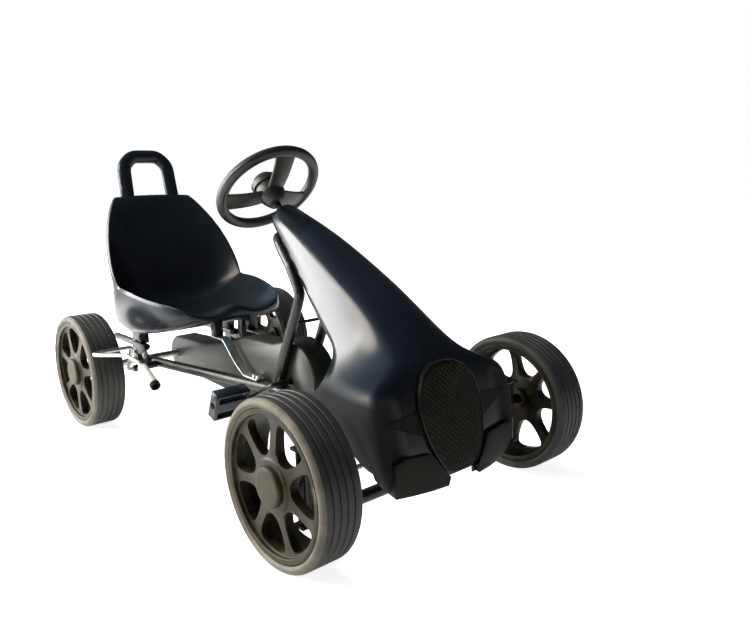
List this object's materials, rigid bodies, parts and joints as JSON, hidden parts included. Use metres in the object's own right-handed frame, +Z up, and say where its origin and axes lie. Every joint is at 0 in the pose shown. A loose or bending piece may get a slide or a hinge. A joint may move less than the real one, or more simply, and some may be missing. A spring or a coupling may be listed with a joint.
{
  "type": "pedal go-kart",
  "caption": "Pedal go-kart with a moulded bucket seat, a moulded front fairing with a netted grille, steered front wheels, a bent crank with block pedals and a hand brake at the rear tyre.",
  "frame": {"origin": "middle of the box on the floor, under the middle of the kart", "axes": "+X forwards, +Y to the driver's left, +Z up"},
  "size_m": [1.4162, 0.7596, 0.7843],
  "materials": {
    "black_moulded_plastic": "satin to glossy black moulded plastic",
    "grey_rim_plastic": "dull dark grey moulded plastic",
    "tyre_foam": "dull dark foam tyre skin",
    "black_painted_steel": "black powder coat",
    "bright_steel": "bright plated steel",
    "grip_vinyl": "light dipped vinyl"
  },
  "bodies": {
    "chassis": {"brake_bush": "black_painted_steel", "bumper_block_left": "black_moulded_plastic", "bumper_block_right": "black_moulded_plastic", "chain_guard": "black_moulded_plastic", "column_bearing": "black_painted_steel", "column_foot": "black_painted_steel", "fairing": "black_moulded_plastic", "frame_rail_left": "black_painted_steel", "frame_rail_right": "black_painted_steel", "front_axle_beam": "black_painted_steel", "grille": "grey_rim_plastic", "hoop_cross_rod": "black_painted_steel", "nose_stay_left": "black_painted_steel", "nose_stay_right": "black_painted_steel", "rear_bracket_left": "black_painted_steel", "rear_bracket_right": "black_painted_steel", "seat": "black_moulded_plastic", "seat_rail_left": "black_painted_steel", "seat_rail_right": "black_painted_steel", "seat_strut_left": "bright_steel", "seat_strut_right": "bright_steel", "steering_hoop": "black_painted_steel"},
    "rear_axle": {"rear_axle_shaft": "bright_steel", "tyre_rear_left": "tyre_foam", "tyre_rear_right": "tyre_foam", "rim_rear_left": "grey_rim_plastic", "rim_rear_right": "grey_rim_plastic", "hub_cap_rear_left": "grey_rim_plastic", "hub_cap_rear_right": "grey_rim_plastic"},
    "steering": {"steering_wheel": "black_moulded_plastic", "horn_pad": "black_moulded_plastic", "steering_column": "black_painted_steel"},
    "track_rod": {"track_rod": "bright_steel"},
    "knuckle_left": {"knuckle_left": "black_painted_steel"},
    "knuckle_right": {"knuckle_right": "black_painted_steel"},
    "wheel_front_left": {"tyre_front_left": "tyre_foam", "rim_front_left": "grey_rim_plastic", "hub_cap_front_left": "grey_rim_plastic"},
    "wheel_front_right": {"tyre_front_right": "tyre_foam", "rim_front_right": "grey_rim_plastic", "hub_cap_front_right": "grey_rim_plastic"},
    "crank": {"crank_rod": "black_painted_steel"},
    "pedal_left": {"pedal_left": "black_moulded_plastic"},
    "pedal_right": {"pedal_right": "black_moulded_plastic"},
    "hand_brake": {"brake_lever": "bright_steel", "brake_grip": "grip_vinyl"}
  },
  "joints": [
    {"name": "rear_axle_spin", "type": "hinge", "parent": "chassis", "child": "rear_axle", "pos_m": [-0.48295, 0, 0.16], "axis": [0, 1, 0], "continuous": true},
    {"name": "steering_turn", "type": "hinge", "parent": "chassis", "child": "steering", "pos_m": [0.02205, 0, 0.665], "axis": [-0.7071, 0, 0.7071], "range_deg": [-45, 45]},
    {"name": "track_rod_slide", "type": "slide", "parent": "chassis", "child": "track_rod", "axis": [0, 1, 0], "range_m": [-0.0352, 0.0352]},
    {"name": "knuckle_left_turn", "type": "hinge", "parent": "chassis", "child": "knuckle_left", "pos_m": [0.54805, 0.3, 0.16], "axis": [0, 0, 1], "range_deg": [-30.1, 30.1]},
    {"name": "knuckle_right_turn", "type": "hinge", "parent": "chassis", "child": "knuckle_right", "pos_m": [0.54805, -0.3, 0.16], "axis": [0, 0, 1], "range_deg": [-30.1, 30.1]},
    {"name": "wheel_front_left_spin", "type": "hinge", "parent": "knuckle_left", "child": "wheel_front_left", "pos_m": [0.54805, 0.3305, 0.16], "axis": [0, 1, 0], "continuous": true},
    {"name": "wheel_front_right_spin", "type": "hinge", "parent": "knuckle_right", "child": "wheel_front_right", "pos_m": [0.54805, -0.3305, 0.16], "axis": [0, 1, 0], "continuous": true},
    {"name": "crank_spin", "type": "hinge", "parent": "chassis", "child": "crank", "pos_m": [0.13305, 0, 0.195], "axis": [0, 1, 0], "continuous": true},
    {"name": "pedal_left_spin", "type": "hinge", "parent": "crank", "child": "pedal_left", "pos_m": [0.22928, 0.156, 0.24403], "axis": [0, 1, 0], "continuous": true},
    {"name": "pedal_right_spin", "type": "hinge", "parent": "crank", "child": "pedal_right", "pos_m": [0.03682, -0.156, 0.14597], "axis": [0, 1, 0], "continuous": true},
    {"name": "hand_brake_pull", "type": "hinge", "parent": "chassis", "child": "hand_brake", "pos_m": [-0.37795, -0.2, 0.165], "axis": [0, 1, 0], "range_deg": [-4, 0]}
  ],
  "couplings": [
    {"joint": "knuckle_left_turn", "follows": "steering_turn", "ratio": 0.6667},
    {"joint": "knuckle_right_turn", "follows": "steering_turn", "ratio": 0.6667},
    {"joint": "track_rod_slide", "follows": "steering_turn", "m_per_rad": -0.04456}
  ]
}
